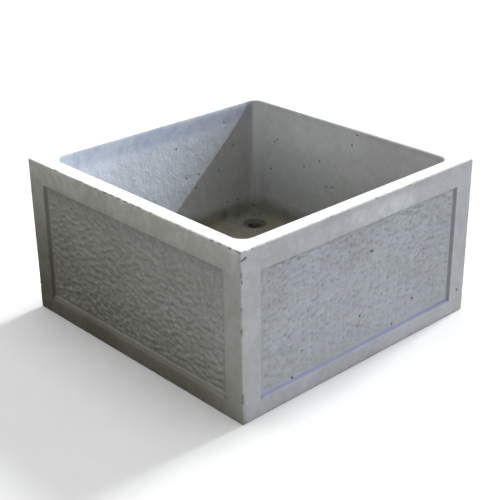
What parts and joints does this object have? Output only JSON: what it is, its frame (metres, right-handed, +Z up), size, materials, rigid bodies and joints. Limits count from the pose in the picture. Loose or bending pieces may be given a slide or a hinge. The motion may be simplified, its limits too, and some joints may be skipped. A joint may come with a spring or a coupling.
{
  "type": "square planter",
  "caption": "Square cast-concrete floor planter with a flat rim, hammered sunk panels in its faces, a drained floor and a steel cage cast into its walls.",
  "frame": {"origin": "centre of the underside, on the ground", "axes": "+Z up; X and Y square to the walls; -Y and -X are the two faces that the picture shows"},
  "size_m": [0.75, 0.75, 0.4],
  "materials": {
    "concrete": "matte",
    "drain_pipe": "satin",
    "steel_bar": "matte",
    "tie_wire": "matte",
    "mortar": "matte"
  },
  "bodies": {
    "root": {"planter_casting": "concrete", "drain_sleeve_front_left": "drain_pipe", "drain_sleeve_front_right": "drain_pipe", "drain_sleeve_back_right": "drain_pipe", "drain_sleeve_back_left": "drain_pipe", "hoop_bar_1": "steel_bar", "hoop_bar_2": "steel_bar", "hoop_bar_3": "steel_bar", "hoop_bar_4": "steel_bar", "lower_u_bar_1": "steel_bar", "lower_u_bar_2": "steel_bar", "lower_u_bar_3": "steel_bar", "lower_u_bar_4": "steel_bar", "upper_u_bar_1": "steel_bar", "upper_u_bar_2": "steel_bar", "upper_u_bar_3": "steel_bar", "upper_u_bar_4": "steel_bar", "wall_ties": "tie_wire", "floor_ties": "tie_wire", "cover_blocks": "mortar"}
  },
  "joints": []
}
